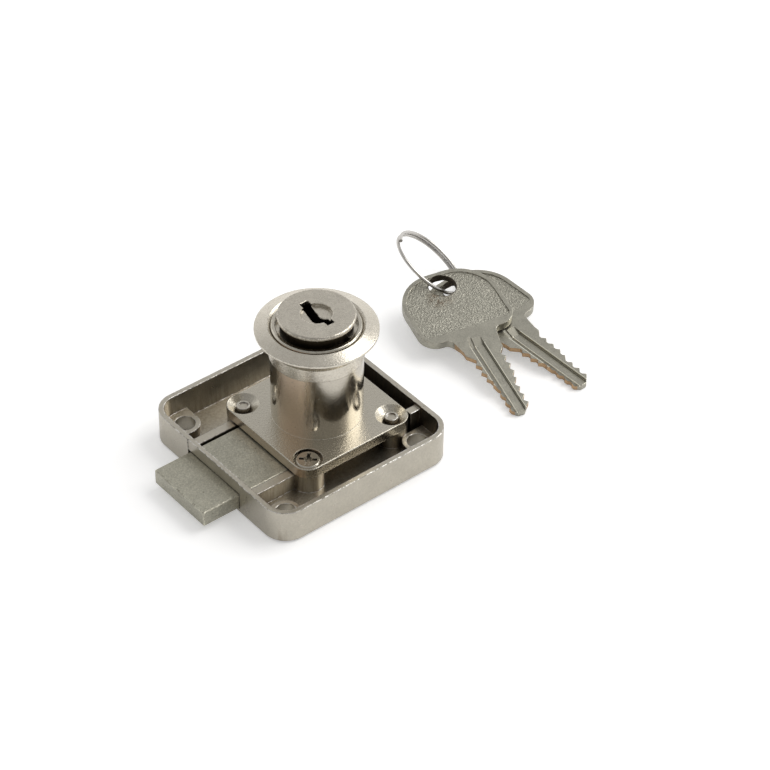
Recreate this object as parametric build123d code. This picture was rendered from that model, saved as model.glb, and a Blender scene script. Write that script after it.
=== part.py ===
from build123d import *
import math
import os

# Rim lock with a wafer cylinder, its rosette and two keys on a split ring.
# Millimetres. The origin is on the cylinder's axis at the outer face of the case, +Z runs up the
# cylinder, and the bolt is thrown towards -X.

# Case
backset = 25.0
case_tail = 17.0
case_width = 42.0
case_height = 7.4
case_corner = 4.9
case_wall = 1.05
case_floor = 1.2
case_draft = 5.0
case_foot_break = 0.5
bridge_wall = 1.0
bridge_setback = 0.13

# Holes for the wood screws that hold the case
hole_span = 32.0
hole_diameter = 4.0
boss_radius = 3.0
boss_height = 3.5

# Bolt and its guides
bolt_width = 15.7
bolt_underside = 1.3
bolt_top = 4.65
bolt_edge_break = 0.2
throw = 8.25
bolt_tail = 5.3
bolt_guide_gap = 0.12
bolt_side_play = 0.72
window_head_gap = 0.15
guide_width = 1.9
guide_fillet = 2.0
yoke_play = 0.15
yoke_end_play = 0.3

# Base plate, its posts, pins and screws
plate_underside = 5.0
plate_thickness = 2.15
plate_half = 13.45
plate_edge_break = 0.15
post_offset = 10.2
post_radius = 3.15
locator_width = 1.65
locator_inset = 1.4
locator_height = 6.8
pin_radius = 1.35
pin_below_plate_top = 0.35
pin_cup_radius = 0.95
pin_cup_depth = 0.25
pin_sink_radius = 3.15
pin_sink_depth = 1.45
screw_shank_radius = 1.5
screw_head_radius = 2.5
screw_head_height = 1.35
screw_head_break = 0.35
screw_reach = 3.6
screw_hole_spare = 0.3
screw_recess_gap = 0.35
screw_web = 0.65
cross_reach = 1.75
cross_width = 0.65
cross_depth = 0.85
cross_centre = 0.85
cross_turn = 45.0

# Cylinder
tube_radius = 9.0
tube_top = 28.5
tube_mouth_radius = 7.9
tube_mouth_depth = 1.2
tube_rim_break = 0.25
bore_radius = 6.3
groove_depth = 0.85
rosette_seat_z = 21.55
rosette_seat_step = 0.25

# Rosette
rosette_radius = 11.9
rosette_rim_z = 27.6
rosette_crown_z = 28.45
rosette_crown_radius = 9.35
rosette_mouth_drop = 0.4
rosette_sleeve_wall = 0.43
rosette_flare_start = 24.3
rosette_lip = 0.45
flare_steps = 2

# Plug
head_projection = 2.35
head_radius = 7.55
head_thickness = 0.7
head_break = 0.22
neck_radius = 7.0
dial_radius = 3.05
dial_depth = 0.6

# Driver under the plug
driver_thickness = 1.5
driver_radius = 7.2
driver_pin_radius = 1.5
driver_pin_end_gap = 0.4
driver_screw_radius = 1.25
driver_screw_head = 2.3
driver_screw_length = 3.9
driver_screw_spare = 0.3
driver_slot_width = 0.6
driver_slot_depth = 0.5

# Wafers, counted from the key's tip, and the half widths of the key at each of them
wafer_pitch = 2.12
first_cut = 2.3
cuts_right = [1.45, 1.6, 1.7, 2.4, 2.65, 2.7, 2.8]
cuts_left = [1.35, 1.3, 1.4, 2.0, 2.4, 2.45, 2.7]
wafer_thickness = 1.2
wafer_half_width = 3.0
wafer_travel = 0.6
lug_reach = 1.7
lug_thickness = 0.8
spring_wire = 0.2
spring_radius = 0.45
spring_length = 2.4
spring_turns = 3
spring_sides = 6

# Keys
key_thickness = 1.75
key_length = 40.3
blade_length = 19.4
blade_half = 4.05
tip_flat_half = 0.7
tip_tooth_half = 2.1
tip_tooth_along = 1.35
cut_flat = 0.5
cut_slope = 0.85
waist_start = 17.9
waist_half = 5.0
waist_blend = 0.15
waist_round = 1.5
bow_start = 22.2
bow_half = 10.4
bow_near_corner = 3.8
bow_far_corner = 8.5
bow_border = 0.9
bow_relief = 0.2
field_start = 24.2
ring_hole_radius = 2.9
ring_hole_from_end = 3.7

# Lengthwise grooves of the blade, across the key from its middle, and how they run out into the bow
groove_left = -2.1
groove_right = 0.95
groove_depth_key = 0.6
gutter_right = -1.0
gutter_depth = 0.2
groove_slope = 0.4
left_rebate_edge = -2.3
left_rebate_depth = 0.75
right_rebate_edge = 1.3
right_rebate_depth = 0.4
rebate_slope = 0.6
groove_end = 19.0
groove_runout = 2.4

# Split ring
ring_radius = 8.3
ring_wire = 0.75
ring_turns = 1.6
ring_turn_gap = 0.08
ring_wire_sides = 6
ring_end_angle = 148.0

# Clearances
running_gap = 0.05
end_play = 0.1
screw_gap = 0.05
key_play = 0.1
lug_play = 0.15

# Resting places of the keys and the ring beside the lock
front_key_tip = (35.4, -20.0)
front_key_heading = 75.8
front_key_tilt = 7.9
back_key_tip = (50.5, -21.5)
back_key_heading = 93.8
back_key_tilt = 3.2
key_roll = 2.0
key_lift = 0.1
ring_centre = (47.2, 22.6, 6.3)
ring_normal = (0.548, -0.321, 0.773)

# Worked out from the sizes above
case_half = case_width / 2
case_middle = (case_tail - backset) / 2
plate_top = plate_underside + plate_thickness
channel_half = (bolt_width + bolt_side_play) / 2
bolt_middle = -(bolt_side_play / 2 - bolt_guide_gap)
crank = throw / 2
plug_tail_z = plate_underside + end_play + driver_thickness
plug_face_z = tube_top + head_projection
mouth_floor = tube_top - tube_mouth_depth
seat_radius = tube_radius - rosette_seat_step
key_tip_z = plug_face_z - blade_length
keyway_floor = key_tip_z - 0.5
wafer_levels = [key_tip_z + first_cut + wafer_pitch * i for i in range(len(cuts_right))]
wafer_end = bore_radius - 2 * running_gap
hole_places = [(case_middle + i * hole_span / 2, j * hole_span / 2) for i in (-1, 1) for j in (-1, 1)]
screw_places = [(-post_offset, -post_offset), (post_offset, post_offset)]
pin_places = [(-post_offset, post_offset), (post_offset, -post_offset)]

# The S-shaped keyway, seen from the key side with its long axis along Y. The key's grooved face looks
# towards +X, and the keyway bends round its grooves and rebates.
keyway_end = blade_half + key_play
grooved_face = 0.5
plain_face = grooved_face - key_thickness
groove_floor = grooved_face - groove_depth_key
keyway = [
    (grooved_face + 0.45, keyway_end),
    (grooved_face + 0.55, 3.1),
    (groove_floor + 0.35, -0.35),
    (groove_floor + 0.3, -1.15),
    (grooved_face + 0.15, -1.75),
    (grooved_face + 0.65, -2.1),
    (grooved_face + 0.65, -keyway_end),
    (plain_face + left_rebate_depth - key_play, -keyway_end),
    (plain_face + left_rebate_depth - key_play, -2.4),
    (plain_face - key_play, -1.95),
    (plain_face - 0.4, -1.5),
    (plain_face - 0.5, -0.8),
    (plain_face - 0.3, 0.1),
    (plain_face + right_rebate_depth - key_play, 2.6),
    (plain_face + right_rebate_depth - key_play, keyway_end),
]
keyway_low = min(point[0] for point in keyway)
keyway_high = max(point[0] for point in keyway)

# A crank leaves a steady ratio between its turn and its throw by this much at the most.
drift_angle = math.asin(2 / math.pi)
crank_drift = throw * abs((1 - math.cos(drift_angle)) / 2 - drift_angle / math.pi)


def block(x0, x1, y0, y1, z0, z1):
    """A box between its limits."""
    return Pos((x0 + x1) / 2, (y0 + y1) / 2, (z0 + z1) / 2) * Box(x1 - x0, y1 - y0, z1 - z0)


def rod(x, y, z0, z1, radius):
    """An upright cylinder."""
    return Pos(x, y, (z0 + z1) / 2) * Cylinder(radius, z1 - z0)


def taper_rod(x, y, z0, z1, lower_radius, upper_radius):
    """An upright cone frustum."""
    return Pos(x, y, (z0 + z1) / 2) * Cone(lower_radius, upper_radius, z1 - z0)


def one_solid(shape):
    """The single solid of a finished piece."""
    solids = shape.solids()
    return max(solids, key=lambda solid: solid.volume)


def corner_boss(x, y, shell):
    """A pad round a screw hole, run out into the two walls of its corner."""
    side_x = 1 if x > case_middle else -1
    side_y = 1 if y > 0 else -1
    far_x = case_middle + side_x * (backset + case_tail - case_wall) / 2
    far_y = side_y * (case_half - case_wall / 2)
    low = case_floor / 2
    pad = rod(x, y, low, boss_height, boss_radius)
    pad += block(*sorted((x, far_x)), *sorted((y - side_y * boss_radius, far_y)), low, boss_height)
    pad += block(*sorted((x - side_x * boss_radius, far_x)), *sorted((y, far_y)), low, boss_height)
    return pad & shell


def guide(side):
    """A guide rib beside the bolt, with a fillet where it leaves the front wall."""
    inner = channel_half
    outer = channel_half + guide_width
    front = -backset + case_wall / 2
    rib = block(front, post_offset, inner, outer, case_floor / 2, bolt_top)
    wall = -backset + case_wall
    web = block(front, wall + guide_fillet, inner, outer + guide_fillet, case_floor / 2, bolt_top)
    web -= rod(wall + guide_fillet, outer + guide_fillet, 0, case_height, guide_fillet)
    rib += web
    return rib if side > 0 else mirror(rib, about=Plane.XZ)


def make_tray():
    """The case's rim and floor."""
    length = backset + case_tail
    shell = Pos(case_middle, 0, 0) * extrude(RectangleRounded(length, case_width, case_corner), case_height)
    shell = chamfer(shell.edges().group_by(Axis.Z)[0], case_foot_break)
    shrink = (case_height - case_floor) * math.tan(math.radians(case_draft))
    inner_length = length - 2 * (case_wall + shrink)
    inner_width = case_width - 2 * (case_wall + shrink)
    inner_corner = case_corner - case_wall - shrink
    floor_outline = RectangleRounded(inner_length, inner_width, inner_corner)
    pocket = extrude(Pos(case_middle, 0, case_floor) * floor_outline, case_height - case_floor, taper=-case_draft)
    return shell, shell - pocket


def locating_pin(x, y):
    """A pin that lines up the base plate, with a cupped end."""
    top = plate_top - pin_below_plate_top
    pin = rod(x, y, case_floor, top, pin_radius)
    return pin - rod(x, y, top - pin_cup_depth, top + 1, pin_cup_radius)


def make_case():
    """The open tray with its corner bosses, bolt guides, posts, pins and locating ribs."""
    shell, body = make_tray()
    for x, y in hole_places:
        body += corner_boss(x, y, shell)
    body += guide(1)
    body += guide(-1)
    for x in (-post_offset, post_offset):
        for y in (-post_offset, post_offset):
            body += rod(x, y, case_floor / 2, plate_underside, post_radius)
    channel_start = -backset + bridge_wall
    channel_tail = case_tail - 2 * case_wall
    body -= block(channel_start, channel_tail, -channel_half, channel_half, case_floor, case_height)
    for x, y in pin_places:
        body += locating_pin(x, y)
    for x, y in screw_places:
        screw_end = plate_underside + screw_web - screw_reach - screw_hole_spare
        body -= rod(x, y, screw_end, plate_underside + 1, screw_shank_radius + screw_gap)
    for side in (-1, 1):
        near = plate_half - locator_inset
        limits = sorted((side * near, side * (near - locator_width)))
        far = case_tail - case_wall / 2
        body += block(plate_half + running_gap, far, *limits, case_floor / 2, locator_height)
    window_top = bolt_top + window_head_gap
    window_inside = -backset + 2 * case_wall
    body -= block(-backset - 1, window_inside, -channel_half, channel_half, case_floor, window_top)
    face = -backset + bridge_setback
    body -= block(-backset - 1, face, -channel_half, channel_half, case_floor, case_height + 1)
    for x, y in hole_places:
        body -= rod(x, y, -1, case_height, hole_diameter / 2)
    return one_solid(body)


def make_bolt():
    """The square bolt, with the cross slot that the driver's pin works in."""
    tip = -backset - throw
    tail = -crank + bolt_tail
    low = bolt_middle - bolt_width / 2
    high = bolt_middle + bolt_width / 2
    body = block(tip, tail, low, high, bolt_underside, bolt_top)
    body = chamfer(body.edges(), bolt_edge_break)
    half_width = driver_pin_radius + crank_drift + yoke_play
    half_length = crank + driver_pin_radius + yoke_end_play
    body -= block(-crank - half_width, -crank + half_width, -half_length, half_length, 0, case_height)
    return one_solid(body)


def make_housing():
    """Base plate and tube in one piece, bored for the plug."""
    size = 2 * plate_half
    outline = RectangleRounded(size, size, plate_half - post_offset)
    plate = Pos(0, 0, plate_underside) * extrude(outline, plate_thickness)
    plate = chamfer(plate.edges().group_by(Axis.Z)[-1], plate_edge_break)
    tube = rod(0, 0, plate_underside, tube_top, seat_radius)
    tube = chamfer(tube.edges().filter_by(GeomType.CIRCLE).group_by(Axis.Z)[-1], tube_rim_break)
    body = plate + tube + rod(0, 0, plate_underside, rosette_seat_z, tube_radius)
    body -= rod(0, 0, mouth_floor, tube_top + 1, tube_mouth_radius)
    body -= rod(0, 0, 0, tube_top, bore_radius)
    body -= rod(0, 0, 0, plug_tail_z + end_play, driver_radius + end_play)
    groove_half = wafer_half_width + running_gap
    groove_reach = bore_radius + groove_depth
    groove_start = wafer_levels[0] - wafer_thickness
    body -= block(-groove_half, groove_half, -groove_reach, groove_reach, groove_start, mouth_floor + 1)
    for x, y in pin_places:
        body -= rod(x, y, 0, plate_top + 1, pin_radius + screw_gap)
        body -= taper_rod(x, y, plate_top - pin_sink_depth, plate_top, pin_radius + screw_gap, pin_sink_radius)
    for x, y in screw_places:
        body -= rod(x, y, 0, plate_top + 1, screw_shank_radius + screw_gap)
        seat = plate_underside + screw_web
        body -= rod(x, y, seat, plate_top + 1, screw_head_radius + screw_recess_gap)
    return one_solid(body)


def fixing_screw(x, y):
    """A pan-head screw with a cross recess."""
    seat = plate_underside + screw_web
    head_top = seat + screw_head_height
    head = rod(x, y, seat, head_top, screw_head_radius)
    head = chamfer(head.edges().group_by(Axis.Z)[-1], screw_head_break)
    wing = Box(2 * cross_reach, cross_width, 2 * cross_depth)
    recess = wing + Rot(0, 0, 90) * wing + Cylinder(cross_centre, 2 * cross_depth)
    head -= Pos(x, y, head_top) * Rot(0, 0, cross_turn) * recess
    return one_solid(head + rod(x, y, seat - screw_reach, seat + 0.1, screw_shank_radius))


def make_rosette():
    """The turned ring that covers the hole in the door front."""
    inner = seat_radius + running_gap
    sleeve = inner + rosette_sleeve_wall
    sleeve_end = rosette_seat_z + running_gap
    under = rosette_rim_z - rosette_lip
    reach = rosette_radius - sleeve
    rise = under - rosette_flare_start
    flare = []
    for step in range(1, flare_steps + 1):
        angle = math.pi / 2 * step / flare_steps
        flare.append((sleeve + reach * (1 - math.cos(angle)), rosette_flare_start + rise * math.sin(angle)))
    outline = Polyline(
        (inner, sleeve_end),
        (sleeve, sleeve_end),
        (sleeve, rosette_flare_start),
        *flare,
        (rosette_radius, rosette_rim_z),
        (rosette_crown_radius, rosette_crown_z),
        (inner, rosette_crown_z - rosette_mouth_drop),
        close=True,
    )
    return one_solid(revolve(Plane.XZ * make_face(outline), Axis.Z, 360))


def wafer_side(index):
    """Wafers stand with their lugs left and right in turn."""
    return 1 if index % 2 == 0 else -1


def make_plug():
    """The turning plug: head, neck, keyway, wafer slots and spring pockets."""
    shoulder = mouth_floor + running_gap
    body = rod(0, 0, plug_tail_z, shoulder, bore_radius - running_gap)
    body += rod(0, 0, shoulder, plug_face_z - head_thickness, neck_radius)
    head = rod(0, 0, plug_face_z - head_thickness, plug_face_z, head_radius)
    body += chamfer(head.edges().filter_by(GeomType.CIRCLE).group_by(Axis.Z)[-1], head_break)
    body -= rod(0, 0, plug_face_z - dial_depth, plug_face_z + 1, dial_radius)
    slot = make_face(Polyline(*keyway, close=True))
    body -= Pos(0, 0, keyway_floor) * extrude(slot, plug_face_z - keyway_floor + 1)
    for index, level in enumerate(wafer_levels):
        low = level - wafer_thickness / 2 - running_gap
        high = level + wafer_thickness / 2 + running_gap
        half = wafer_half_width + running_gap
        body -= block(-half, half, -bore_radius, bore_radius, low, high)
        side = wafer_side(index)
        reach = wafer_half_width + lug_reach + lug_play
        lug_end = -lug_thickness - wafer_travel - end_play
        body -= block(*sorted((0, side * reach)), lug_end, spring_length, low, high)
    screw_hole = driver_screw_length - driver_thickness + driver_screw_spare
    body -= rod(0, 0, plug_tail_z - 1, plug_tail_z + screw_hole, driver_screw_radius + screw_gap)
    return one_solid(body)


def make_wafer(index):
    """A flat wafer whose window matches the key's cut, with the lug that its spring pushes."""
    level = wafer_levels[index]
    low = level - wafer_thickness / 2
    high = level + wafer_thickness / 2
    body = rod(0, 0, low, high, wafer_end)
    body &= block(-wafer_half_width, wafer_half_width, -bore_radius, bore_radius, low, high)
    side = wafer_side(index)
    lug = sorted((side * wafer_half_width / 2, side * (wafer_half_width + lug_reach)))
    body += block(*lug, -lug_thickness, 0, low, high)
    near = -cuts_left[index] - key_play
    far = cuts_right[index] + key_play
    body -= block(keyway_low - key_play, keyway_high + key_play, near, far, low - 1, high + 1)
    return one_solid(body)


def make_spring(index):
    """The small spring between a wafer's lug and the end of its pocket, wound on a few sides a turn."""
    length = spring_length - spring_wire
    count = spring_turns * spring_sides
    points = []
    for step in range(count + 1):
        angle = 2 * math.pi * step / spring_sides
        height = spring_wire / 2 + (length - spring_wire / 2) * step / count
        points.append((spring_radius * math.cos(angle), height, spring_radius * math.sin(angle)))
    path = Polyline(*points)
    section = Plane(path @ 0, z_dir=path % 0) * Rectangle(spring_wire, spring_wire)
    coil = sweep(section, path, transition=Transition.RIGHT)
    x = wafer_side(index) * (wafer_half_width + lug_reach / 2 + lug_play / 2)
    return one_solid(Pos(x, 0, wafer_levels[index]) * coil)


def make_driver():
    """The disc under the plug, whose pin moves the bolt."""
    top = plug_tail_z
    underside = top - driver_thickness
    body = rod(0, 0, underside, top, driver_radius)
    body += rod(-crank, 0, case_floor + driver_pin_end_gap, underside, driver_pin_radius)
    body -= rod(0, 0, 0, top + 1, driver_screw_radius + screw_gap)
    sink_end = underside + driver_screw_head - driver_screw_radius
    mouth = driver_screw_head + screw_gap
    body -= taper_rod(0, 0, underside, sink_end, mouth, driver_screw_radius + screw_gap)
    return one_solid(body)


def make_driver_screw():
    """The countersunk screw that clamps the driver to the plug."""
    underside = plug_tail_z - driver_thickness
    sink_end = underside + driver_screw_head - driver_screw_radius
    body = taper_rod(0, 0, underside, sink_end, driver_screw_head, driver_screw_radius)
    body += rod(0, 0, underside, underside + driver_screw_length, driver_screw_radius)
    half = driver_slot_width / 2
    depth = underside + driver_slot_depth
    body -= block(-driver_screw_head, driver_screw_head, -half, half, underside - 1, depth)
    return one_solid(body)


def edge_profile(cuts):
    """Half widths along one edge of the blade, from the tip to the shoulder."""
    points = [(tip_flat_half, 0), (tip_tooth_half, tip_tooth_along)]
    for index, width in enumerate(cuts):
        station = first_cut + wafer_pitch * index
        points.append((width, station - cut_flat / 2))
        points.append((width, station + cut_flat / 2))
        climb = (blade_half - width) / cut_slope
        if index + 1 < len(cuts):
            span = wafer_pitch - cut_flat
            climb = min(span, max(0, (cuts[index + 1] - width + cut_slope * span) / (2 * cut_slope)))
        points.append((width + climb * cut_slope, station + cut_flat / 2 + climb))
    points.append((blade_half, bow_start))
    return points


def mirrored(points):
    """The same points on the other side of the key, in reverse order."""
    return [(-x, y) for x, y in reversed(points)]


def lengthwise_cut(points, rise):
    """A cut along the blade from its tip, which then runs out of the surface towards the bow."""
    face = Pos(0, groove_end, 0) * (Plane.XZ * make_face(Polyline(*points, close=True)))
    cut = extrude(face, groove_end + 1)
    slant = Vector(0, groove_runout, rise)
    return cut + extrude(face, slant.length, dir=slant)


def blade_cuts():
    """The groove with its gutter on the top face, and the two rebates on the underside."""
    top = key_thickness
    floor = top - groove_depth_key
    gutter = floor - gutter_depth
    groove = [
        (groove_left, top), (groove_left + groove_slope, gutter), (gutter_right, gutter),
        (gutter_right, floor), (groove_right, floor), (groove_right, top + 1), (groove_left, top + 1),
    ]
    edge = blade_half + 1
    left = [
        (-edge, left_rebate_depth), (left_rebate_edge, left_rebate_depth),
        (left_rebate_edge + rebate_slope, 0), (left_rebate_edge + rebate_slope, -1), (-edge, -1),
    ]
    right = [
        (edge, right_rebate_depth), (right_rebate_edge, right_rebate_depth),
        (right_rebate_edge - rebate_slope, 0), (right_rebate_edge - rebate_slope, -1), (edge, -1),
    ]
    return [
        lengthwise_cut(groove, groove_depth_key + gutter_depth),
        lengthwise_cut(left, -left_rebate_depth),
        lengthwise_cut(right, -right_rebate_depth),
    ]


def make_key():
    """A key lying flat: +Y from the tip to the bow, +Z through its thickness, underside at z = 0."""
    right = edge_profile(cuts_right)
    left = [(-x, y) for x, y in reversed(edge_profile(cuts_left))]
    blade = extrude(make_face(Polyline(*right, *left, close=True)), key_thickness)
    corners = [(blade_half, waist_start), (waist_half, bow_start), (bow_half, bow_start), (bow_half, key_length)]
    radii = [waist_blend, waist_round, bow_near_corner, bow_far_corner]
    outline = FilletPolyline(*corners, *mirrored(corners), radius=radii + radii[::-1], close=True)
    bow = extrude(make_face(outline), key_thickness)
    near = [(bow_half - bow_border, field_start), (bow_half - bow_border, key_length - bow_border)]
    far_corner = bow_far_corner - bow_border
    radii = [bow_border, far_corner, far_corner, bow_border]
    field = make_face(FilletPolyline(*near, *mirrored(near), radius=radii, close=True))
    key = blade + bow
    key -= Pos(0, 0, key_thickness - bow_relief) * extrude(field, 1)
    key -= Pos(0, 0, bow_relief - 1) * extrude(field, 1)
    for cut in blade_cuts():
        key -= cut
    key -= rod(0, key_length - ring_hole_from_end, -1, key_thickness + 1, ring_hole_radius)
    return one_solid(key)


def lay_key(key, tip, heading, tilt):
    """A key laid with its tip on the table, turned to its heading and raised at the bow."""
    return Pos(tip[0], tip[1], key_lift) * Rot(0, 0, heading - 90) * Rot(tilt, 0, 0) * Rot(0, -key_roll, 0) * key


def make_ring():
    """The split ring, a wire wound more than once and a half round, its upper end in view."""
    pitch = ring_wire + ring_turn_gap
    path = Helix(pitch, pitch * ring_turns, ring_radius)
    section = Plane(path @ 0, z_dir=path % 0) * RegularPolygon(ring_wire / 2, ring_wire_sides)
    coil = Pos(0, 0, -pitch * ring_turns / 2) * sweep(section, path, is_frenet=True)
    turn = Rot(0, 0, ring_end_angle - 360 * ring_turns)
    return one_solid(Plane(origin=ring_centre, z_dir=ring_normal) * turn * coil)


def write_parts():
    """Every piece as its own STEP file."""
    os.makedirs("parts", exist_ok=True)
    key = make_key()
    pieces = {
        "case": make_case(),
        "bolt": make_bolt(),
        "cylinder_housing": make_housing(),
        "fixing_screws": Compound([fixing_screw(x, y) for x, y in screw_places]),
        "rosette": make_rosette(),
        "plug": make_plug(),
        "driver": make_driver(),
        "driver_screw": make_driver_screw(),
        "front_key": lay_key(key, front_key_tip, front_key_heading, front_key_tilt),
        "back_key": lay_key(key, back_key_tip, back_key_heading, back_key_tilt),
        "split_ring": make_ring(),
    }
    for index in range(len(wafer_levels)):
        pieces[f"wafer_{index + 1}"] = make_wafer(index)
        pieces[f"wafer_spring_{index + 1}"] = make_spring(index)
    for name, shape in pieces.items():
        export_step(shape, f"parts/{name}.step")


write_parts()
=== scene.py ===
import math

import bpy
from mathutils import Matrix, Vector


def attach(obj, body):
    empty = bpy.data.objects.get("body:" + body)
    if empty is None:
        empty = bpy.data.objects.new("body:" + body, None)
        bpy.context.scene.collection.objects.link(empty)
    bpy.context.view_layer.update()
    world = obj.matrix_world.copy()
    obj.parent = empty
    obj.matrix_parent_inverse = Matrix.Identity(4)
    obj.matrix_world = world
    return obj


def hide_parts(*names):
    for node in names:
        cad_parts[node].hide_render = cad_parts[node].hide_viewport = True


bl_info = {
    "name": "Rim Lock With Keys",
    "version": (1, 0, 0),
    "blender": (4, 5, 0),
    "location": "3D View > Sidebar > Rim Lock",
    "description": "Finishes a cylinder rim lock, its keys and their ring, and sets them on a studio table",
    "category": "Object",
}

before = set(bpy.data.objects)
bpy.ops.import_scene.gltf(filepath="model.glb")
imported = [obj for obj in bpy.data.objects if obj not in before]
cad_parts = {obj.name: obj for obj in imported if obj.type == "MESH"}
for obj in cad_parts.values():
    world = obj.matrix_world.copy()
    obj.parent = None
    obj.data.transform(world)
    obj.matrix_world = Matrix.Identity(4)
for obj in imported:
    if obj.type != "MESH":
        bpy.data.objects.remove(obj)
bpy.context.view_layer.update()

MM = 0.001

# Directions in the lock's own frame
RIGHT = (1, 0, 0)
LEFT = (-1, 0, 0)
REARWARD = (0, 1, 0)
UPWARD = (0, 0, 1)

# The viewpoint: its direction, its roll, its distance, what it looks at and its lens
VIEW_AZIMUTH = math.radians(-39.699)
VIEW_ELEVATION = math.radians(40.172)
VIEW_ROLL = math.radians(0.827)
VIEW_DISTANCE = 544.94 * MM
VIEW_TARGET = Vector((16.459, -0.594, 5.0)) * MM
VIEW_LENS = 129.64
SENSOR_WIDTH = 36
NEAREST_SEEN = 10 * MM

# The one lamp, high up on the right
LAMP_PLACE = Vector((0.8, -0.25, 0.9))
LAMP_SIDE = 0.95
LAMP_POWER = 8
LAMP_COLOUR = (1, 0.99, 0.97)

# The room's colour, and how bright it is in front of the lock and behind it, low down and high up
ROOM_COLOUR = (1.0, 0.995, 0.985)
ROOM_FRONT = 0.38
ROOM_REAR_LOW = 1.0
ROOM_REAR_HIGH = 0.5

# The table's roughness, and how much it glows for the camera and for reflected or passing rays
TABLE_ROUGHNESS = 0.6
TABLE_GLOW = 0.36
MIRRORED_GLOW = 0.16

# How each key lies: its tip, its heading and its tilt. Both keys roll by the same angle
KEY_ROLL = math.radians(2.0)
KEY_POSES = {
    "front_key": (Vector((35.4, -20.0, 0.1)) * MM, math.radians(75.8), math.radians(7.9)),
    "back_key": (Vector((50.5, -21.5, 0.1)) * MM, math.radians(93.8), math.radians(3.2)),
}

# Places on a key: through it from its underside, along it from its tip and across it from its middle line.
# A run-out's lean is the cosine between its normal and the key's length
KEY_THICKNESS = 1.75 * MM
FIELD_DEPTH = 0.2 * MM
FIELD_START = 24.0 * MM
BLADE_END = 20.6 * MM
CUT_START = 1.2 * MM
RUNOUT_MIDDLE = 20.2 * MM
RUNOUT_REACH = 1.6 * MM
RUNOUT_LEAN = 0.25
GROOVE_END = 19.0 * MM
GROOVE_EDGES = (-2.17 * MM, -0.93 * MM, 1.02 * MM)
GUTTER_MIDDLE = -1.4 * MM
GUTTER_REACH = 0.3 * MM
CORNER_MIDDLE = 0.82 * MM
CORNER_REACH = 0.09 * MM
HOLE_ALONG = 36.6 * MM
HOLE_RADIUS = 2.9 * MM
SMUDGE_ALONG = 33.6 * MM
SMUDGE_ACROSS = -2.0 * MM
SMUDGE_RADII = (0.8 * MM, 3.4 * MM)

# The split ring: its wire, its centre, its own upward direction and where its upper end is
RING_RADIUS = 8.285 * MM
WIRE_DIAMETER = 0.75 * MM
WIRE_GAP = 0.08 * MM
WIRE_TURNS = 1.6
WIRE_STEPS = 96
WIRE_SIDES = 20
RING_CENTRE = Vector((47.2, 22.6, 6.3)) * MM
RING_UP = Vector((0.548, -0.321, 0.773)).normalized()
RING_ACROSS = Vector((RING_UP.z, 0, -RING_UP.x)).normalized()
RING_END_ANGLE = math.radians(148)

# Heights on the lock: the upper face of the base plate and the underside of the plug's head
PLATE_TOP = 7.15 * MM
NECK_TOP = 30.15 * MM

# The case from above: its middle, the inner faces of its walls, and where the squares round its corner
# holes lie and how far they reach
CASE_MIDDLE = -4.0 * MM
CASE_INSIDE = 20.1 * MM
HOLE_OFFSET = 16.0 * MM
HOLE_REACH = 2.2 * MM

# The brown stripe down the tube, a painted reflection: the way that it faces, how squarely, and its colour
REFLECTION_FACING = (-0.938, -0.346, 0)
REFLECTION_TURN = (0.88, 1.0)
REFLECTION_TINT = (0.95, 0.74, 0.56)

# How fine the marks on a metal are, in cells to the metre, and how deep the stipple on the bows is
CLOUD_SCALE = 320
SHEEN_SCALE = 700
SMUDGE_SCALE = 900
CHIP_SCALE = 1100
RUB_SCALE = 1300
STREAK_SCALE = 1700
STIPPLE_SCALE = 2600
STIPPLE_DEPTH = 0.24 * MM

# The values that a noise mostly keeps to
NOISE_BODY = (0.3, 0.7)

# Brown streaks are drawn out upwards
STREAK_STRETCH = (1, 1, 0.07)

# From a flat place to a worn edge with a painted highlight, as the cosine between the rounded and the plain
# normal
EDGE_TURN = (0.995, 0.93)

# From an open place to a corner darkened with painted shade, as the share of open air round it
SHELTERED = (0.55, 0.15)


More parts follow.
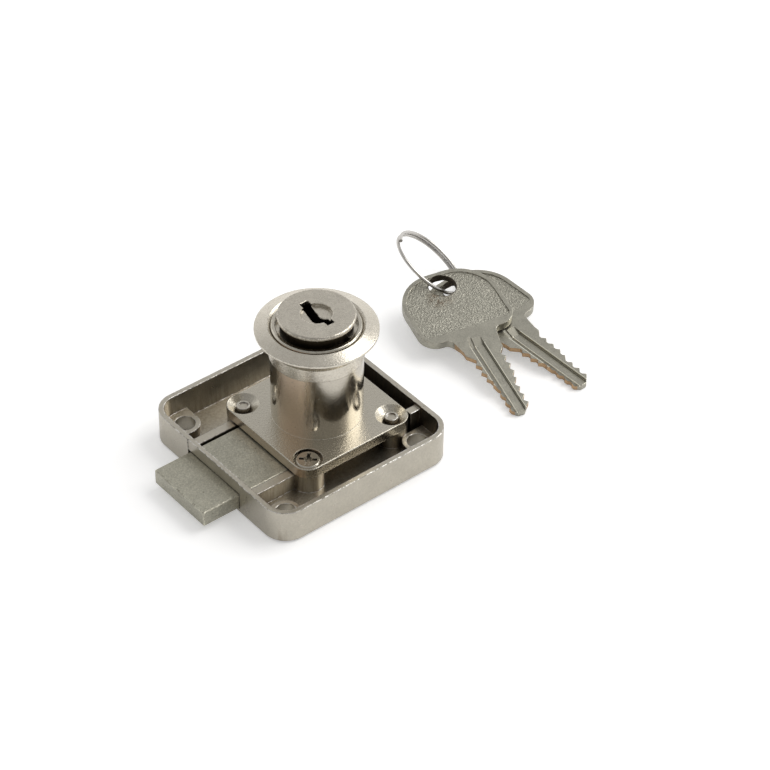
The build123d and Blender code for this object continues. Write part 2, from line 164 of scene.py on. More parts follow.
class LockFinishSettings(bpy.types.PropertyGroup):
    """Colours and sheens of the lock's metals, and the sizes of its ring"""

    cast_nickel: bpy.props.FloatVectorProperty(
        name="Cast nickel",
        description="Colour of the satin plating on the case",
        subtype="COLOR",
        default=(0.55, 0.515, 0.44),
    )
    bolt_nickel: bpy.props.FloatVectorProperty(
        name="Bolt nickel",
        description="Colour of the dull plating on the bolt",
        subtype="COLOR",
        default=(0.46, 0.445, 0.37),
    )
    bright_nickel: bpy.props.FloatVectorProperty(
        name="Bright nickel",
        description="Colour of the polished plating on the tube, the plate and the rosette",
        subtype="COLOR",
        default=(0.60, 0.56, 0.485),
    )
    key_nickel: bpy.props.FloatVectorProperty(
        name="Key nickel",
        description="Colour of the plating on the keys",
        subtype="COLOR",
        default=(0.42, 0.405, 0.345),
    )
    cut_brass: bpy.props.FloatVectorProperty(
        name="Cut brass",
        description="Colour of the bare brass in the cuts of the keys",
        subtype="COLOR",
        default=(0.50, 0.34, 0.20),
    )
    # This grime colour is also painted shade: in the corners of every metal, the case's tray, the screws'
    # recess, below the plug's head and in the ring hole
    grime_and_shade: bpy.props.FloatVectorProperty(
        name="Soil",
        description="Colour of the grime in corners and round the ring hole",
        subtype="COLOR",
        default=(0.10, 0.075, 0.05),
    )
    cast_roughness: bpy.props.FloatProperty(
        name="Cast roughness",
        description="Roughness of the satin plating",
        default=0.33,
        min=0.0,
        max=1.0,
    )
    bright_roughness: bpy.props.FloatProperty(
        name="Bright roughness",
        description="Roughness of the polished plating",
        default=0.15,
        min=0.0,
        max=1.0,
    )
    ring_radius: bpy.props.FloatProperty(
        name="Ring radius",
        description="Radius of the split ring to the middle of its wire",
        default=RING_RADIUS,
        unit="LENGTH",
    )
    wire_diameter: bpy.props.FloatProperty(
        name="Wire diameter",
        description="Diameter of the split ring's wire",
        default=WIRE_DIAMETER,
        unit="LENGTH",
    )
    wire_turns: bpy.props.FloatProperty(
        name="Wire turns",
        description="How many times the split ring's wire goes round",
        default=WIRE_TURNS,
    )


class LockStageSettings(bpy.types.PropertyGroup):
    """The table that the lock and its keys lie on"""

    table_colour: bpy.props.FloatVectorProperty(
        name="Table colour",
        description="Colour of the table under the lock",
        subtype="COLOR",
        default=(0.93, 0.93, 0.935),
    )
    table_size: bpy.props.FloatProperty(
        name="Table size",
        description="Side of the square table",
        default=4.0,
        unit="LENGTH",
    )


def linked(name, data):
    """A new object in the scene."""
    piece = bpy.data.objects.new(name, data)
    bpy.context.scene.collection.objects.link(piece)
    return piece


def new_material(name):
    """A material whose tree holds only its shader and output."""
    material = bpy.data.materials.new(name)
    material.use_nodes = True
    tree = material.node_tree
    tree.nodes.clear()
    output = tree.nodes.new("ShaderNodeOutputMaterial")
    shader = tree.nodes.new("ShaderNodeBsdfPrincipled")
    tree.links.new(shader.outputs["BSDF"], output.inputs["Surface"])
    return material, tree, shader


def dress(name, material):
    """Give a CAD node one material."""
    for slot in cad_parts[name].material_slots:
        slot.material = material


def set_or_link(tree, value, socket):
    """Give a socket a value, or the output that carries one."""
    if isinstance(value, bpy.types.NodeSocket):
        tree.links.new(value, socket)
    elif socket.type == "RGBA":
        socket.default_value = (*value, 1)
    else:
        socket.default_value = value


def maths(tree, operation, first, second=0.0):
    """A sum, difference or other plain calculation."""
    node = tree.nodes.new("ShaderNodeMath")
    node.operation = operation
    set_or_link(tree, first, node.inputs[0])
    set_or_link(tree, second, node.inputs[1])
    return node.outputs[0]


def product(tree, first, *others):
    """The product of some values."""
    for other in others:
        first = maths(tree, "MULTIPLY", first, other)
    return first


def largest(tree, first, *others):
    """The largest of some values."""
    for other in others:
        first = maths(tree, "MAXIMUM", first, other)
    return first


def unsigned(tree, value):
    """A value without its sign."""
    return maths(tree, "ABSOLUTE", value)


def vector_maths(tree, operation, first, second):
    """The number that a calculation gives for two vectors."""
    node = tree.nodes.new("ShaderNodeVectorMath")
    node.operation = operation
    set_or_link(tree, first, node.inputs[0])
    set_or_link(tree, second, node.inputs[1])
    return node.outputs["Value"]


def map_range(tree, value, source, target=(0, 1)):
    """A value carried from one range to another, and held within it."""
    node = tree.nodes.new("ShaderNodeMapRange")
    for name, limit in zip(("From Min", "From Max", "To Min", "To Max"), (*source, *target)):
        node.inputs[name].default_value = limit
    tree.links.new(value, node.inputs["Value"])
    return node.outputs["Result"]


def mixed(tree, factor, first, second, kind="RGBA"):
    """A colour or a number between two others."""
    mix = tree.nodes.new("ShaderNodeMix")
    mix.data_type = kind
    sockets = [socket for socket in mix.inputs if socket.enabled]
    for value, socket in zip((factor, first, second), sockets):
        set_or_link(tree, value, socket)
    return next(socket for socket in mix.outputs if socket.enabled)


def place(tree, kind="Object"):
    """A texture coordinate."""
    return tree.nodes.new("ShaderNodeTexCoord").outputs[kind]


def along(tree, vector, direction, start=0.0):
    """How far a vector reaches in a direction, counted from a start."""
    return maths(tree, "SUBTRACT", vector_maths(tree, "DOT_PRODUCT", vector, direction), start)


def facing(tree, direction):
    """How squarely the surface faces a direction, from minus one to one."""
    return along(tree, place(tree, "Normal"), direction)


def near(tree, value, middle, reach, soft):
    """One where a value lies within reach of a middle, and nothing beyond a soft border."""
    distance = unsigned(tree, maths(tree, "SUBTRACT", value, middle))
    return map_range(tree, distance, (reach, reach + soft), (1, 0))


def object_noise(tree, scale, detail, roughness=0.5, stretch=(1, 1, 1)):
    """The strength of a noise in object coordinates."""
    mapping = tree.nodes.new("ShaderNodeMapping")
    mapping.inputs["Scale"].default_value = stretch
    tree.links.new(place(tree), mapping.inputs["Vector"])
    noise = tree.nodes.new("ShaderNodeTexNoise")
    noise.inputs["Scale"].default_value = scale
    noise.inputs["Detail"].default_value = detail
    noise.inputs["Roughness"].default_value = roughness
    tree.links.new(mapping.outputs["Vector"], noise.inputs["Vector"])
    return noise.outputs["Fac"]


def bump(tree, height, distance, below, strength=1.0):
    """A bump from a height, over another one."""
    node = tree.nodes.new("ShaderNodeBump")
    set_or_link(tree, strength, node.inputs["Strength"])
    node.inputs["Distance"].default_value = distance
    tree.links.new(height, node.inputs["Height"])
    tree.links.new(below, node.inputs["Normal"])
    return node.outputs["Normal"]


def shade(colour, factor):
    """A colour made darker or lighter."""
    return tuple(min(1.0, channel * factor) for channel in colour)


def rounded_edges(tree, radius):
    """A normal that rounds the edges off, and how near an edge a place is."""
    rounded = tree.nodes.new("ShaderNodeBevel")
    rounded.samples = 6
    rounded.inputs["Radius"].default_value = radius
    flat = tree.nodes.new("ShaderNodeNewGeometry")
    turn = vector_maths(tree, "DOT_PRODUCT", rounded.outputs["Normal"], flat.outputs["Normal"])
    return rounded.outputs["Normal"], map_range(tree, turn, EDGE_TURN)


def open_air(tree, reach, samples):
    """The share of open air round a place."""
    air = tree.nodes.new("ShaderNodeAmbientOcclusion")
    air.samples = samples
    air.inputs["Distance"].default_value = reach
    return air.outputs["AO"]


class PlatedMetal:
    """A plated metal that is mottled, worn and lit by painted highlights at its edges, darkened by painted
    shade in its corners, and takes more marks
    """

    def __init__(
        self, name, colour, roughness, grime_and_shade, mottle=0.06, edge=0.12 * MM, corner=0.8 * MM, shine=1.55
    ):
        self.material, self.tree, self.shader = new_material(name)
        self.shader.inputs["Metallic"].default_value = 1.0
        self.base = tuple(colour)
        self.grime_and_shade = tuple(grime_and_shade)
        tree = self.tree
        clouds = map_range(tree, object_noise(tree, CLOUD_SCALE, detail=4, roughness=0.6), NOISE_BODY)
        self.colour = mixed(tree, clouds, shade(self.base, 1 - mottle), shade(self.base, 1 + mottle))
        sheen = object_noise(tree, SHEEN_SCALE, detail=4, roughness=0.6)
        self.roughness = map_range(tree, sheen, NOISE_BODY, (roughness * 0.8, roughness * 1.2))
        self.normal, edges = rounded_edges(tree, edge)
        self.wear_and_highlight(edges, roughness * 0.6, shine)
        # Painted shade: corners with little open air round them take the grime colour
        self.cover(map_range(tree, open_air(tree, corner, samples=6), SHELTERED), self.grime_and_shade, roughness=0.75)

    def wear_and_highlight(self, edges, polish, shine):
        """Rub the edges bright, partly as wear and partly as a painted highlight, and chip them here and
        there.
        """
        tree = self.tree
        rubbing = map_range(tree, object_noise(tree, RUB_SCALE, detail=3), (0.4, 0.6), (0.45, 1))
        rubbed = product(tree, edges, rubbing)
        # Partly painted highlight: rubbed edges take a colour up to several times brighter than the base
        self.colour = mixed(tree, product(tree, rubbed, 0.85), self.colour, shade(self.base, shine))
        self.roughness = mixed(tree, rubbed, self.roughness, polish, "FLOAT")
        chipping = object_noise(tree, CHIP_SCALE, detail=4, roughness=0.65)
        chips = map_range(tree, chipping, (0.47, 0.57), (0, 0.8))
        self.cover(product(tree, edges, chips), self.grime_and_shade, roughness=0.6)

    def grain(self, scale, depth, detail=2, level=1.0):
        """Raise a fine grain."""
        height = object_noise(self.tree, scale, detail, roughness=0.6)
        self.normal = bump(self.tree, height, depth, self.normal, level)

    def pits(self, scale, share, depth):
        """Sink scattered pits into the surface and darken them."""
        tree = self.tree
        cells = tree.nodes.new("ShaderNodeTexVoronoi")
        cells.inputs["Scale"].default_value = scale
        tree.links.new(place(tree), cells.inputs["Vector"])
        floor = map_range(tree, cells.outputs["Distance"], (share, share * 1.6))
        self.normal = bump(tree, floor, depth, self.normal)
        self.cover(map_range(tree, floor, (0, 1), (0.45, 0)), self.grime_and_shade, roughness=0.5)

    def speckle(self, scale, dark, light):
        """Scatter fine dark and light grains of colour."""
        grains = object_noise(self.tree, scale, detail=3, roughness=0.7)
        dark_grains = map_range(self.tree, grains, (0.48, 0.34), (0, dark))
        self.cover(dark_grains, shade(self.base, 0.35), roughness=0.55)
        light_grains = map_range(self.tree, grains, (0.52, 0.66), (0, light))
        self.cover(light_grains, shade(self.base, 1.6), roughness=0.3)

    def cover(self, factor, colour, roughness):
        """Lay another colour and sheen over part of the surface."""
        self.colour = mixed(self.tree, factor, self.colour, colour)
        self.roughness = mixed(self.tree, factor, self.roughness, roughness, "FLOAT")

    def joined(self):
        """The material, with its layers joined to the shader."""
        self.tree.links.new(self.colour, self.shader.inputs["Base Color"])
        self.tree.links.new(self.roughness, self.shader.inputs["Roughness"])
        self.tree.links.new(self.normal, self.shader.inputs["Normal"])
        return self.material


def inside_the_walls(tree):
    """One between the case's walls, and nothing in its corner holes or past its walls."""
    point = place(tree)
    forward = unsigned(tree, along(tree, point, RIGHT, CASE_MIDDLE))
    sideways = unsigned(tree, along(tree, point, REARWARD))
    walls = map_range(tree, largest(tree, forward, sideways), (CASE_INSIDE, CASE_INSIDE + 0.1 * MM), (1, 0))
    squares = [near(tree, side, HOLE_OFFSET, HOLE_REACH, soft=0.1 * MM) for side in (forward, sideways)]
    return product(tree, walls, maths(tree, "SUBTRACT", 1.0, product(tree, *squares)))


def shade_and_streak_the_tray(metal, reach, darkness, streaks):
    """Paint shade into the deep places of the case and onto its far walls that face left, and lay brown
    streaks down the walls.
    """
    tree = metal.tree
    air = open_air(tree, reach, samples=8)
    within = inside_the_walls(tree)
    # Painted shade in the sheltered places between the walls
    shadow = product(tree, within, map_range(tree, air, SHELTERED, (0, darkness)))
    metal.cover(shadow, shade(metal.grime_and_shade, 0.5), roughness=0.45)
    # Painted shade on the far walls that face left
    left_facing_shade = map_range(tree, facing(tree, LEFT), (0.5, 0.9), (0, 0.8))
    far_side = map_range(tree, along(tree, place(tree), RIGHT), (0, 1 * MM))
    metal.cover(product(tree, left_facing_shade, far_side, within), shade(metal.grime_and_shade, 0.25), roughness=0.5)
    streaking = object_noise(tree, STREAK_SCALE, detail=4, roughness=0.65, stretch=STREAK_STRETCH)
    lines = map_range(tree, streaking, (0.4, 0.62))
    sheltered = map_range(tree, air, (0.85, 0.6), (0, streaks))
    metal.cover(product(tree, sheltered, lines, within), shade(metal.grime_and_shade, 2.4), roughness=0.4)


def case_metal(finish):
    """Satin nickel on a rough casting."""
    metal = PlatedMetal(
        "cast nickel", finish.cast_nickel, finish.cast_roughness, finish.grime_and_shade,
        mottle=0.05, edge=0.3 * MM, shine=2.4,
    )
    metal.grain(260, depth=0.02 * MM)
    metal.grain(2400, depth=0.018 * MM)
    metal.speckle(2600, dark=0.1, light=0.12)
    shade_and_streak_the_tray(metal, reach=7 * MM, darkness=0.6, streaks=0.45)
    return metal.joined()


def bolt_metal(finish):
    """Dull, pitted nickel."""
    metal = PlatedMetal(
        "bolt nickel", finish.bolt_nickel, roughness=0.4, grime_and_shade=finish.grime_and_shade,
        mottle=0.1, edge=0.3 * MM, shine=2.2,
    )
    metal.grain(900, depth=0.02 * MM)
    metal.grain(2500, depth=0.1 * MM, detail=3)
    metal.speckle(3300, dark=0.3, light=0.45)
    metal.pits(620, share=0.07, depth=0.02 * MM)
    return metal.joined()


def housing_metal(finish):
    """Polished nickel on the tube, with a brown stripe of painted reflection, and satin nickel on the base
    plate.
    """
    metal = PlatedMetal(
        "bright nickel", finish.bright_nickel, finish.bright_roughness, finish.grime_and_shade,
        mottle=0.05, edge=0.2 * MM, shine=1.8,
    )
    tree = metal.tree
    height = along(tree, place(tree), UPWARD)
    plate = map_range(tree, height, (PLATE_TOP + 0.02 * MM, PLATE_TOP + 0.1 * MM), (1, 0))
    metal.cover(plate, finish.cast_nickel, roughness=0.27)
    # Painted reflection: a brown stripe on the side of the tube that faces one way
    painted_reflection = map_range(tree, facing(tree, REFLECTION_FACING), REFLECTION_TURN, (0, 0.75))
    metal.cover(painted_reflection, REFLECTION_TINT, roughness=0.42)
    metal.grain(420, depth=0.012 * MM)
    metal.grain(2200, depth=0.006 * MM)
    metal.grain(2500, depth=0.05 * MM, detail=3, level=plate)
    metal.speckle(2800, dark=0.12, light=0.12)
    metal.pits(800, share=0.06, depth=0.015 * MM)
    return metal.joined()


def screw_metal(finish):
    """Bright nickel with painted shade in the recess."""
    # The wide corner reach paints shade deep into the recess
    metal = PlatedMetal(
        "screw nickel", finish.bright_nickel, roughness=0.2, grime_and_shade=shade(finish.grime_and_shade, 0.5), corner=1.6 * MM
    )
    metal.grain(1200, depth=0.02 * MM)
    return metal.joined()


def rosette_metal(finish):
    """Pale satin nickel."""
    metal = PlatedMetal(
        "satin nickel", shade(finish.bright_nickel, 1.2), roughness=0.24, grime_and_shade=finish.grime_and_shade,
        mottle=0.05, edge=0.15 * MM,
    )
    metal.grain(1500, depth=0.008 * MM)
    metal.grain(2900, depth=0.022 * MM, detail=3)
    metal.speckle(2900, dark=0.2, light=0.2)
    return metal.joined()


def plug_metal(finish):
    """Grainy nickel on the plug's head, and painted shade on all that lies below it."""
    metal = PlatedMetal(
        "plug nickel", finish.bright_nickel, roughness=0.28, grime_and_shade=finish.grime_and_shade, edge=0.35 * MM
    )
    metal.grain(1500, depth=0.008 * MM)
    metal.grain(2600, depth=0.045 * MM, detail=3)
    metal.speckle(2700, dark=0.3, light=0.15)
    height = along(metal.tree, place(metal.tree), UPWARD)
    # Painted shade: all of the plug below its head is dark
    shade_below_head = map_range(metal.tree, height, (NECK_TOP - 0.1 * MM, NECK_TOP), (1, 0))
    metal.cover(shade_below_head, shade(finish.grime_and_shade, 0.45), roughness=0.45)
    return metal.joined()


def plain_metal(name, finish, colour, roughness, scale, depth):
    """A metal with one fine grain, for the pieces inside the lock."""
    metal = PlatedMetal(name, colour, roughness, finish.grime_and_shade)
    metal.grain(scale, depth)
    return metal.joined()


def key_axes(name):
    """A key's own directions: across, along and through it."""
    heading, tilt = KEY_POSES[name][1:]
    turn = Matrix.Rotation(heading - math.pi / 2, 3, "Z")
    raise_bow = Matrix.Rotation(tilt, 3, "X")
    roll = Matrix.Rotation(-KEY_ROLL, 3, "Y")
    axes = turn @ raise_bow @ roll
    return axes.col[0], axes.col[1], axes.col[2]


class KeyMetal(PlatedMetal):
    """The nickel of one key, with marks that are laid by their places on that key"""

    def __init__(self, name, finish):
        super().__init__(
            f"{name} nickel", finish.key_nickel, roughness=0.34, grime_and_shade=finish.grime_and_shade,
            mottle=0.08, edge=0.18 * MM, shine=2.1,
        )
        self.tip = KEY_POSES[name][0]
        self.across, self.lengthwise, self.through = key_axes(name)
        self.point = place(self.tree)
        self.from_tip = self.measured(self.lengthwise)
        self.height = self.measured(self.through)
        self.sideways = self.measured(self.across)
        self.upper_half = map_range(self.tree, self.height, (KEY_THICKNESS * 0.5, KEY_THICKNESS * 0.6))

    def measured(self, direction):
        """How far a place lies from the key's tip in a direction."""
        return along(self.tree, self.point, direction, self.tip.dot(direction))

    def stipple_the_bow(self):
        """Stipple the sunk field on each side of the bow, with painted shade in the stipple's hollows."""
        tree = self.tree
        levels = (KEY_THICKNESS - FIELD_DEPTH, FIELD_DEPTH)
        floors = [near(tree, self.height, level, reach=0.05 * MM, soft=0.01 * MM) for level in levels]
        bow = map_range(tree, self.from_tip, (FIELD_START, FIELD_START + 0.02 * MM))
        field = product(tree, largest(tree, *floors), bow)
        stipple = object_noise(tree, STIPPLE_SCALE, detail=2, roughness=0.7)
        self.normal = bump(tree, stipple, STIPPLE_DEPTH, self.normal, field)
        # Painted shade in the low places of the stipple
        stipple_shade = map_range(tree, stipple, (0.35, 0.6), (0.6, 0))
        self.cover(product(tree, stipple_shade, field), shade(self.base, 0.5), roughness=0.5)

    def dull_the_runouts(self):
        """Dull the slopes on which the grooves run out towards the bow."""
        tree = self.tree
        lean = unsigned(tree, facing(tree, self.lengthwise))
        slope = near(tree, lean, RUNOUT_LEAN, reach=0.15, soft=0.03)
        beside = near(tree, self.from_tip, RUNOUT_MIDDLE, RUNOUT_REACH, soft=0.1 * MM)
        dulled = product(tree, slope, self.upper_half, beside, 0.7)
        self.cover(dulled, shade(self.base, 0.75), roughness=0.7)

    def paint_groove_highlights_and_shade(self):
        """Paint highlights along the edges of the grooves, and paint shade into the gutter and the corner
        beside them.
        """
        tree = self.tree
        blade = map_range(tree, self.from_tip, (GROOVE_END, GROOVE_END + 0.3 * MM), (1, 0))
        grooved = product(tree, blade, self.upper_half)
        # Painted highlights along the groove edges
        edges = [near(tree, self.sideways, edge, reach=0.07 * MM, soft=0.03 * MM) for edge in GROOVE_EDGES]
        self.cover(product(tree, largest(tree, *edges), grooved), shade(self.base, 2.4), roughness=0.2)
        # Painted shade in the gutter and in the corner by the groove's wall
        gutter = near(tree, self.sideways, GUTTER_MIDDLE, GUTTER_REACH, soft=0.1 * MM)
        corner = near(tree, self.sideways, CORNER_MIDDLE, CORNER_REACH, soft=0.05 * MM)
        dark = product(tree, largest(tree, gutter, corner), grooved)
        self.cover(dark, shade(self.base, 0.33), roughness=0.4)

    def bare_the_cuts(self, brass):
        """Show bare brass on the upright faces of the cuts."""
        tree = self.tree
        upright = map_range(tree, unsigned(tree, facing(tree, self.through)), (0.3, 0.5), (1, 0))
        blade = map_range(tree, self.from_tip, (BLADE_END, BLADE_END + 0.5 * MM), (1, 0))
        outer = map_range(tree, unsigned(tree, self.sideways), (CUT_START, CUT_START + 0.1 * MM))
        self.cover(product(tree, upright, blade, outer), brass, roughness=0.4)

    def shade_the_ring_hole_and_smudge(self):
        """Paint shade on the wall of the ring hole, and leave a broken smudge of grime beside it."""
        tree = self.tree
        from_hole = maths(tree, "SUBTRACT", self.from_tip, HOLE_ALONG)
        squares = [product(tree, side, side) for side in (self.sideways, from_hole)]
        radius = maths(tree, "SQRT", maths(tree, "ADD", *squares))
        # Painted shade on the wall of the ring hole
        hole_shade = map_range(tree, radius, (HOLE_RADIUS + 0.05 * MM, HOLE_RADIUS + 0.15 * MM), (1, 0))
        self.cover(product(tree, hole_shade, 0.9), shade(self.grime_and_shade, 0.7), roughness=0.6)
        middle = self.tip + self.lengthwise * SMUDGE_ALONG + self.across * SMUDGE_ACROSS
        distance = vector_maths(tree, "DISTANCE", self.point, middle + self.through * KEY_THICKNESS)
        smudge = map_range(tree, distance, SMUDGE_RADII, (0.95, 0))
        broken = map_range(tree, object_noise(tree, SMUDGE_SCALE, detail=4, roughness=0.7), (0.4, 0.6))
        self.cover(product(tree, smudge, broken), shade(self.grime_and_shade, 1.6), roughness=0.5)


def key_metal(name, finish):
    """Dull nickel with a stippled bow, painted highlights and painted shade on the grooves, and bare brass
    in the cuts.
    """
    metal = KeyMetal(name, finish)
    metal.stipple_the_bow()
    metal.grain(2600, depth=0.025 * MM, detail=3)
    metal.speckle(3000, dark=0.3, light=0.2)
    metal.dull_the_runouts()
    metal.paint_groove_highlights_and_shade()
    metal.bare_the_cuts(finish.cut_brass)
    metal.shade_the_ring_hole_and_smudge()
    return metal.joined()


class LOCK_OT_case(bpy.types.Operator):
    """Nickel plating on the cast case and the bolt"""

    bl_idname = "lock.case"
    bl_label = "Case and bolt"

    def execute(self, context):
        finish = context.scene.lock_finish
        dress("case", case_metal(finish))
        dress("bolt", bolt_metal(finish))
        return {"FINISHED"}


class LOCK_OT_cylinder(bpy.types.Operator):
    """Nickel on the base plate, the tube, the screws, the rosette and the plug, and zinc on the driver"""

    bl_idname = "lock.cylinder"
    bl_label = "Cylinder"

    def execute(self, context):
        finish = context.scene.lock_finish
        dress("cylinder_housing", housing_metal(finish))
        dress("fixing_screws", screw_metal(finish))
        dress("rosette", rosette_metal(finish))
        dress("plug", plug_metal(finish))
        zinc = plain_metal("zinc steel", finish, (0.5, 0.5, 0.5), 0.3, scale=1500, depth=0.004 * MM)
        dress("driver", zinc)
        dress("driver_screw", zinc)
        return {"FINISHED"}


class LOCK_OT_wafers(bpy.types.Operator):
    """Brass wafers and their steel springs"""

    bl_idname = "lock.wafers"
    bl_label = "Wafers"

    def execute(self, context):
        finish = context.scene.lock_finish
        brass = plain_metal("wafer brass", finish, (0.30, 0.21, 0.11), 0.4, scale=1500, depth=0.004 * MM)
        steel = plain_metal("spring steel", finish, (0.45, 0.45, 0.45), 0.25, scale=2500, depth=0.002 * MM)
        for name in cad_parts:
            if name.startswith("wafer_spring"):
                dress(name, steel)
            elif name.startswith("wafer"):
                dress(name, brass)
        return {"FINISHED"}


class LOCK_OT_keys(bpy.types.Operator):
    """Plated keys with stippled bows and bare brass in their cuts"""

    bl_idname = "lock.keys"
    bl_label = "Keys"

    def execute(self, context):
        for name in KEY_POSES:
            dress(name, key_metal(name, context.scene.lock_finish))
        return {"FINISHED"}


def ring_metal(finish):
    """Bright drawn wire."""
    metal = PlatedMetal(
        "ring wire", (0.6, 0.58, 0.55), roughness=0.2, grime_and_shade=finish.grime_and_shade,
        mottle=0.04, edge=0.03 * MM, corner=0.2 * MM,
    )
    metal.grain(1600, depth=0.003 * MM)
    return metal.joined()


def ring_tree(material):
    """The geometry tree of a wound ring: a wire along a coil."""
    tree = bpy.data.node_groups.new("wound ring", "GeometryNodeTree")
    sizes = {"Ring radius": RING_RADIUS, "Wire diameter": WIRE_DIAMETER, "Turns": WIRE_TURNS, "Rise": 0.0}
    for name, size in sizes.items():
        socket = tree.interface.new_socket(name, in_out="INPUT", socket_type="NodeSocketFloat")
        socket.default_value = size
    for name in ("Centre", "Turn"):
        tree.interface.new_socket(name, in_out="INPUT", socket_type="NodeSocketVector")
    tree.interface.new_socket("Geometry", in_out="OUTPUT", socket_type="NodeSocketGeometry")
    entry = tree.nodes.new("NodeGroupInput")
    coil = tree.nodes.new("GeometryNodeCurveSpiral")
    coil.inputs["Resolution"].default_value = WIRE_STEPS
    coil.inputs["Reverse"].default_value = True
    tree.links.new(entry.outputs["Turns"], coil.inputs["Rotations"])
    tree.links.new(entry.outputs["Ring radius"], coil.inputs["Start Radius"])
    tree.links.new(entry.outputs["Ring radius"], coil.inputs["End Radius"])
    tree.links.new(entry.outputs["Rise"], coil.inputs["Height"])
    section = tree.nodes.new("GeometryNodeCurvePrimitiveCircle")
    section.inputs["Resolution"].default_value = WIRE_SIDES
    tree.links.new(product(tree, entry.outputs["Wire diameter"], 0.5), section.inputs["Radius"])
    wire = tree.nodes.new("GeometryNodeCurveToMesh")
    wire.inputs["Fill Caps"].default_value = True
    tree.links.new(coil.outputs["Curve"], wire.inputs["Curve"])
    tree.links.new(section.outputs["Curve"], wire.inputs["Profile Curve"])
    smooth = tree.nodes.new("GeometryNodeSetShadeSmooth")
    tree.links.new(wire.outputs["Mesh"], smooth.inputs["Geometry"])
    laid = tree.nodes.new("GeometryNodeTransform")
    tree.links.new(smooth.outputs["Geometry"], laid.inputs["Geometry"])
    tree.links.new(entry.outputs["Centre"], laid.inputs["Translation"])
    tree.links.new(entry.outputs["Turn"], laid.inputs["Rotation"])
    real = tree.nodes.new("GeometryNodeRealizeInstances")
    tree.links.new(laid.outputs["Geometry"], real.inputs["Geometry"])
    plated = tree.nodes.new("GeometryNodeSetMaterial")
    plated.inputs["Material"].default_value = material
    tree.links.new(real.outputs["Geometry"], plated.inputs["Geometry"])
    leave = tree.nodes.new("NodeGroupOutput")
    tree.links.new(plated.outputs["Geometry"], leave.inputs["Geometry"])
    return tree


def grown(name, tree, values):
    """A plain mesh object from a geometry tree and its named values."""
    carrier = linked(f"{name} carrier", bpy.data.meshes.new(f"{name} carrier"))
    modifier = carrier.modifiers.new("tree", "NODES")
    modifier.node_group = tree
    for item in tree.interface.items_tree:
        if item.in_out == "INPUT":
            modifier[item.identifier] = values[item.name]
    result = carrier.evaluated_get(bpy.context.evaluated_depsgraph_get())
    mesh = bpy.data.meshes.new_from_object(result)
    bpy.data.objects.remove(carrier)
    return linked(name, mesh)


class LOCK_OT_ring(bpy.types.Operator):
    """The split ring, a bright wire wound once and a half round"""

    bl_idname = "lock.ring"
    bl_label = "Split ring"

    def execute(self, context):
        finish = context.scene.lock_finish
        rise = (finish.wire_diameter + WIRE_GAP) * finish.wire_turns
        stand = Matrix((RING_ACROSS, RING_UP.cross(RING_ACROSS), RING_UP)).transposed()
        wind = Matrix.Rotation(RING_END_ANGLE - 2 * math.pi * finish.wire_turns, 3, "Z")
        values = {
            "Ring radius": finish.ring_radius,
            "Wire diameter": finish.wire_diameter,
            "Turns": finish.wire_turns,
            "Rise": rise,
            "Centre": RING_CENTRE - RING_UP * rise / 2,
            "Turn": Vector((stand @ wind).to_euler()),
        }
        ring = grown("split_ring_wire", ring_tree(ring_metal(finish)), values)
        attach(ring, "key_ring")
        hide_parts("split_ring")
        return {"FINISHED"}


def light_path(tree, *kinds):
    """One for the rays of the kinds that are named."""
    path = tree.nodes.new("ShaderNodeLightPath")
    return largest(tree, *(path.outputs[kind] for kind in kinds))


def laid_table(stage):
    """A pale square table under the lock, which the camera sees as almost white."""
    half = stage.table_size / 2
    mesh = bpy.data.meshes.new("table")
    corners = [(-half, -half, 0), (half, -half, 0), (half, half, 0), (-half, half, 0)]
    mesh.from_pydata(corners, [], [(0, 1, 2, 3)])
    material, tree, shader = new_material("table")
    shader.inputs["Base Color"].default_value = (*stage.table_colour, 1)
    shader.inputs["Roughness"].default_value = TABLE_ROUGHNESS
    shader.inputs["Emission Color"].default_value = (1, 1, 1, 1)
    seen = light_path(tree, "Is Camera Ray", "Is Glossy Ray", "Is Transmission Ray")
    mirrored = product(tree, seen, MIRRORED_GLOW)
    glow = mixed(tree, light_path(tree, "Is Camera Ray"), mirrored, TABLE_GLOW, "FLOAT")
    tree.links.new(glow, shader.inputs["Emission Strength"])
    mesh.materials.append(material)
    return linked("table", mesh)


def key_lamp():
    """A square soft lamp that points at the lock."""
    data = bpy.data.lights.new("key lamp", "AREA")
    data.shape = "SQUARE"
    data.size = LAMP_SIDE
    data.energy = LAMP_POWER
    data.color = LAMP_COLOUR
    lamp = linked("key lamp", data)
    lamp.location = LAMP_PLACE
    lamp.rotation_euler = (-LAMP_PLACE).to_track_quat("-Z", "Y").to_euler()


def studio_world():
    """A pale room that is whitest low down behind the lock and darker in front of it."""
    world = bpy.data.worlds.new("studio")
    world.use_nodes = True
    tree = world.node_tree
    background = tree.nodes["Background"]
    direction = place(tree, "Generated")
    behind = (-math.sin(VIEW_AZIMUTH), math.cos(VIEW_AZIMUTH), 0)
    rear = map_range(tree, along(tree, direction, UPWARD), (0.2, 0.8), (ROOM_REAR_LOW, ROOM_REAR_HIGH))
    side = map_range(tree, along(tree, direction, behind), (-0.4, 0.5))
    level = mixed(tree, side, ROOM_FRONT, rear, "FLOAT")
    seen = mixed(tree, light_path(tree, "Is Camera Ray"), level, 1.0, "FLOAT")
    tree.links.new(seen, background.inputs["Strength"])
    background.inputs["Color"].default_value = (*ROOM_COLOUR, 1)
    return world


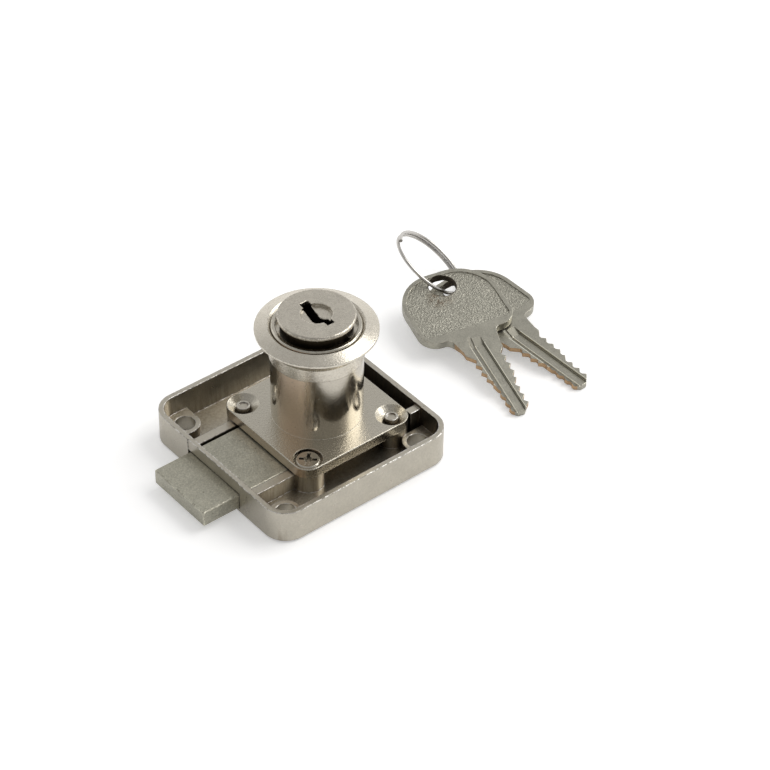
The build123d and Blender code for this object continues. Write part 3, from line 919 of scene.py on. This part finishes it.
def placed_camera():
    """The camera at the viewpoint, turned to its target and rolled."""
    data = bpy.data.cameras.new("camera")
    data.lens = VIEW_LENS
    data.sensor_width = SENSOR_WIDTH
    data.clip_start = NEAREST_SEEN
    back = Vector((
        math.sin(VIEW_AZIMUTH) * math.cos(VIEW_ELEVATION),
        -math.cos(VIEW_AZIMUTH) * math.cos(VIEW_ELEVATION),
        math.sin(VIEW_ELEVATION),
    ))
    level = Vector((math.cos(VIEW_AZIMUTH), math.sin(VIEW_AZIMUTH), 0))
    upright = back.cross(level)
    right = level * math.cos(VIEW_ROLL) + upright * math.sin(VIEW_ROLL)
    up = upright * math.cos(VIEW_ROLL) - level * math.sin(VIEW_ROLL)
    matrix = Matrix((right, up, back)).transposed().to_4x4()
    matrix.translation = VIEW_TARGET + back * VIEW_DISTANCE
    camera = linked("camera", data)
    camera.matrix_world = matrix
    return camera


class LOCK_OT_stage(bpy.types.Operator):
    """The table, the lamp, the room and the camera"""

    bl_idname = "lock.stage"
    bl_label = "Stage"

    def execute(self, context):
        scene = context.scene
        table = laid_table(scene.lock_stage)
        key_lamp()
        scene.world = studio_world()
        scene.camera = placed_camera()
        scene.view_settings.view_transform = "Standard"
        return {"FINISHED"}


class LOCK_PT_panel(bpy.types.Panel):
    """The lock's making, step by step"""

    bl_idname = "LOCK_PT_panel"
    bl_label = "Rim Lock"
    bl_space_type = "VIEW_3D"
    bl_region_type = "UI"
    bl_category = "Rim Lock"

    def draw(self, context):
        for step in STEPS:
            self.layout.operator(step.bl_idname)
        for settings in (context.scene.lock_finish, context.scene.lock_stage):
            for name in settings.bl_rna.properties.keys():
                if name not in ("rna_type", "name"):
                    self.layout.prop(settings, name)


STEPS = (
    LOCK_OT_case,
    LOCK_OT_cylinder,
    LOCK_OT_wafers,
    LOCK_OT_keys,
    LOCK_OT_ring,
    LOCK_OT_stage,
)
CLASSES = (LockFinishSettings, LockStageSettings, *STEPS, LOCK_PT_panel)


def register():
    """Add the settings, the steps and the panel."""
    for each in CLASSES:
        bpy.utils.register_class(each)
    bpy.types.Scene.lock_finish = bpy.props.PointerProperty(type=LockFinishSettings)
    bpy.types.Scene.lock_stage = bpy.props.PointerProperty(type=LockStageSettings)


def unregister():
    """Take the settings, the steps and the panel away again."""
    del bpy.types.Scene.lock_stage
    del bpy.types.Scene.lock_finish
    for each in reversed(CLASSES):
        bpy.utils.unregister_class(each)


def main():
    """Register the add-on and make every piece."""
    register()
    bpy.ops.lock.case()
    bpy.ops.lock.cylinder()
    bpy.ops.lock.wafers()
    bpy.ops.lock.keys()
    bpy.ops.lock.ring()
    bpy.ops.lock.stage()


if __name__ == "__main__":
    main()
